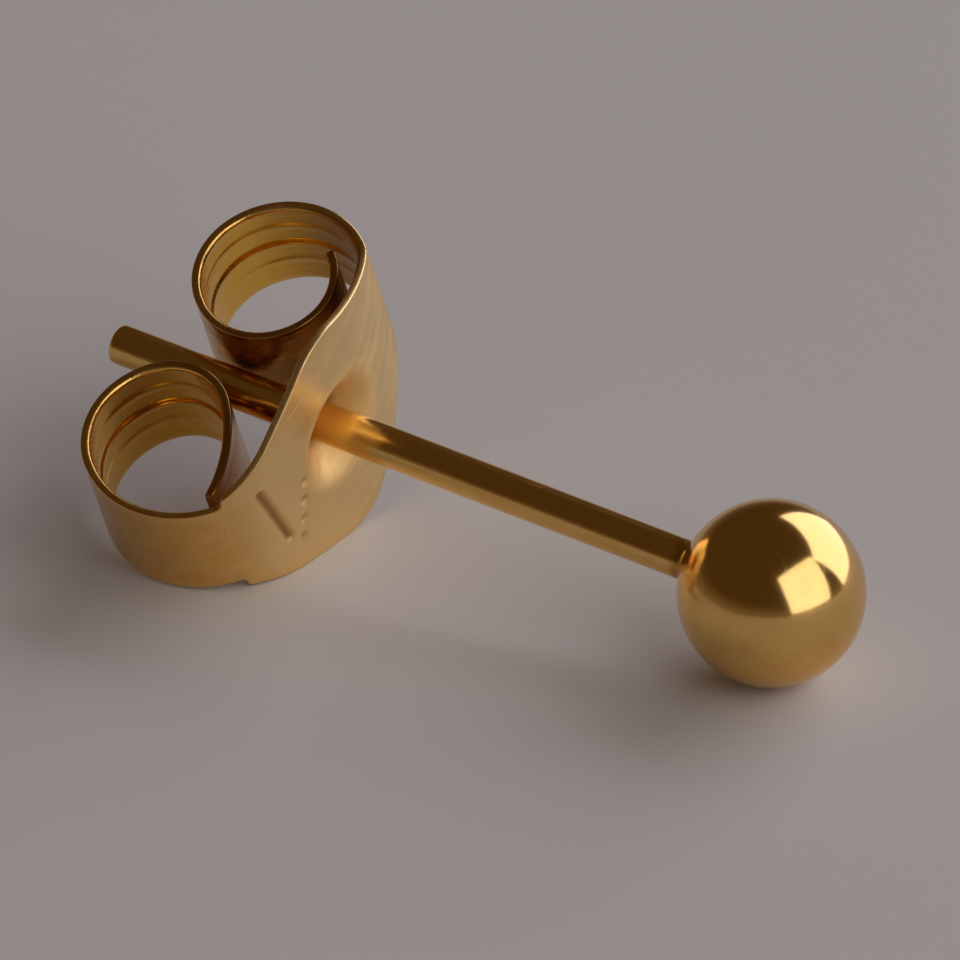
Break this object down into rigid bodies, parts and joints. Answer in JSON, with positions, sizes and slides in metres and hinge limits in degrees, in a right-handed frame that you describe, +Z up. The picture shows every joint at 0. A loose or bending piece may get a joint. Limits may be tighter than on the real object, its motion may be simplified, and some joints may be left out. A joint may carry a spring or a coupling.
{
  "type": "ball stud earring",
  "caption": "Ball stud earring with a straight post and a scroll back pushed on to it, lying on a surface.",
  "frame": {"origin": "on the surface it lies on, under the middle of the earring", "axes": "+Z up, the ball towards +X, the post's tip towards -X; the post rises to the tip by its slope"},
  "size_m": [0.0136, 0.0065, 0.0047],
  "materials": {
    "polished_gold": "mirror-polished gold",
    "rolled_gold": "rolled gold sheet, fine lengthwise lines"
  },
  "bodies": {
    "stud": {"stud": "polished_gold"},
    "scroll_back": {"scroll_back": "rolled_gold"}
  },
  "joints": [
    {"name": "back_slide", "type": "slide", "parent": "stud", "child": "scroll_back", "axis": [-0.9958, 0, 0.0915], "range_m": [-0.0063, 0.0036]}
  ]
}
